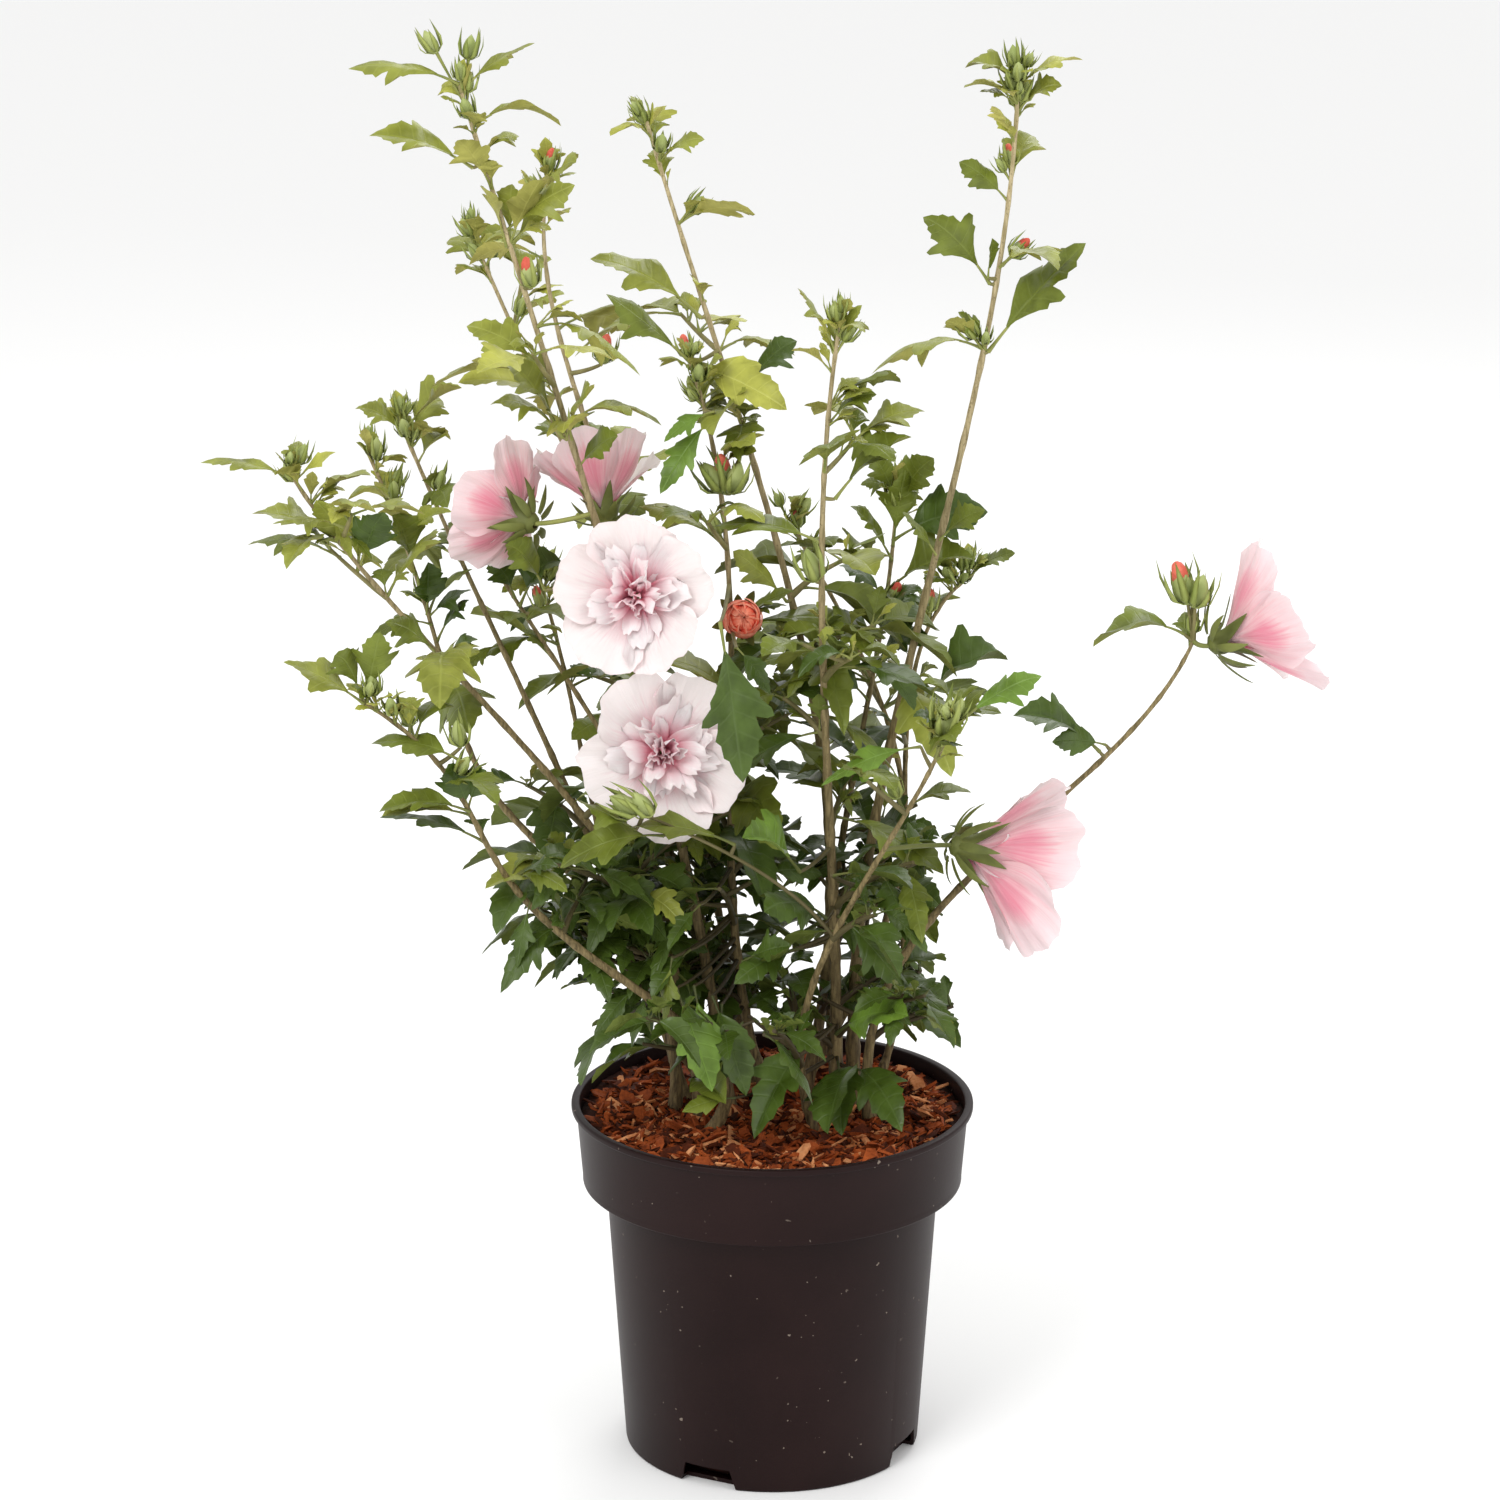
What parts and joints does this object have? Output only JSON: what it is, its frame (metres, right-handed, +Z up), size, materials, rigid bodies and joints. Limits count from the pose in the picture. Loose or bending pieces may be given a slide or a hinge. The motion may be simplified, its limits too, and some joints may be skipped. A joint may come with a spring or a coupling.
{
  "type": "potted rose of sharon shrub",
  "caption": "Upright many-stemmed flowering shrub with lobed leaves and double pale pink blooms, in a round black nursery pot filled with bark compost.",
  "frame": {"origin": "centre of the pot's flat underside, on the surface that the pot stands on", "axes": "+Z up along the pot's axis to the tips of the shrub, -Y towards the front that the two open blooms face, +X to the right seen from the front"},
  "size_m": [0.7365, 0.4328, 0.9982],
  "materials": {
    "pot": "satin moulded charcoal black",
    "soil": "loose shredded rust-brown bark",
    "bark": "thin smooth tan bark",
    "leaf": "soft green leaf",
    "petal": "silky pale pink petal"
  },
  "bodies": {
    "root": {"pot": "pot", "soil": "soil", "stem_tall_left": "bark", "stem_second_left": "bark", "stem_back_left": "bark", "stem_middle": "bark", "stem_far_left": "bark", "stem_upper_left": "bark", "stem_low_left": "bark", "stem_left": "bark", "stem_inner_left": "bark", "stem_thin_left": "bark", "stem_tall_middle": "bark", "stem_front": "bark", "stem_front_right": "bark", "stem_tall_right": "bark", "stem_inner_right": "bark", "stem_back_middle": "bark", "stem_far_right": "bark", "stem_back_right": "bark", "bloom_centre": "petal", "bloom_lower": "petal", "bloom_left": "petal", "bloom_upper": "petal", "bloom_right": "petal", "bloom_far_right": "petal", "foliage_tall_left": "leaf", "foliage_second_left": "leaf", "foliage_back_left": "leaf", "foliage_middle": "leaf", "foliage_far_left": "leaf", "foliage_upper_left": "leaf", "foliage_low_left": "leaf", "foliage_left": "leaf", "foliage_inner_left": "leaf", "foliage_thin_left": "leaf", "foliage_tall_middle": "leaf", "foliage_front": "leaf", "foliage_front_right": "leaf", "foliage_tall_right": "leaf", "foliage_inner_right": "leaf", "foliage_back_middle": "leaf", "foliage_far_right": "leaf", "foliage_back_right": "leaf", "low_foliage_front": "leaf", "low_foliage_front_left": "leaf", "low_foliage_left": "leaf", "low_foliage_back_left": "leaf", "low_foliage_inner_left": "leaf", "low_foliage_middle": "leaf", "low_foliage_front_right": "leaf", "low_foliage_right": "leaf", "low_foliage_inner_right": "leaf", "low_foliage_back_right": "leaf", "low_foliage_back": "leaf", "low_foliage_back_middle": "leaf"}
  },
  "joints": []
}
